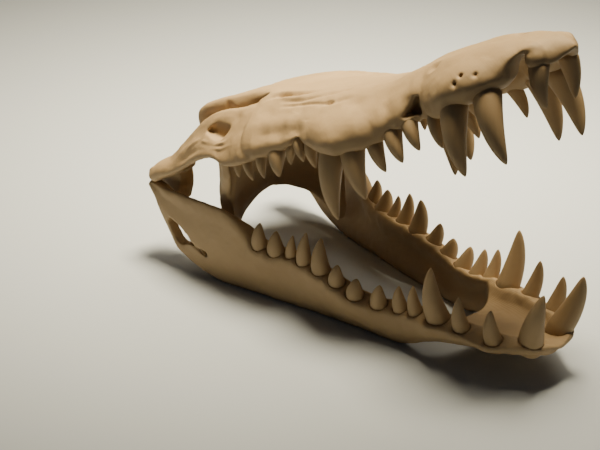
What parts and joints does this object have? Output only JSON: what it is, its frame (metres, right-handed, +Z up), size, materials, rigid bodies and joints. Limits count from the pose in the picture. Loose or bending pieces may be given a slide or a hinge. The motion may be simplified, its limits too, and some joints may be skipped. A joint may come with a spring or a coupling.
{
  "type": "crocodile skull replica",
  "caption": "Tan printed crocodile skull replica with its jaws wide open: long toothed snout, eye slots, cheek arches and a low toothed jaw that stands on its keels.",
  "frame": {"origin": "middle of the bounding box at its base, on the table plane under the lower jaw", "axes": "+X towards the snout, +Y to the skull's left side, +Z up"},
  "size_m": [0.2401, 0.1068, 0.1651],
  "materials": {
    "bone_plastic": "matte tan printed plastic with faint layer lines"
  },
  "bodies": {
    "root": {"premaxilla": "bone_plastic", "maxilla_right": "bone_plastic", "maxilla_left": "bone_plastic", "cranium": "bone_plastic", "pterygoid": "bone_plastic", "cheek_right": "bone_plastic", "cheek_left": "bone_plastic", "mandible_right": "bone_plastic", "mandible_left": "bone_plastic", "chin": "bone_plastic"}
  },
  "joints": []
}
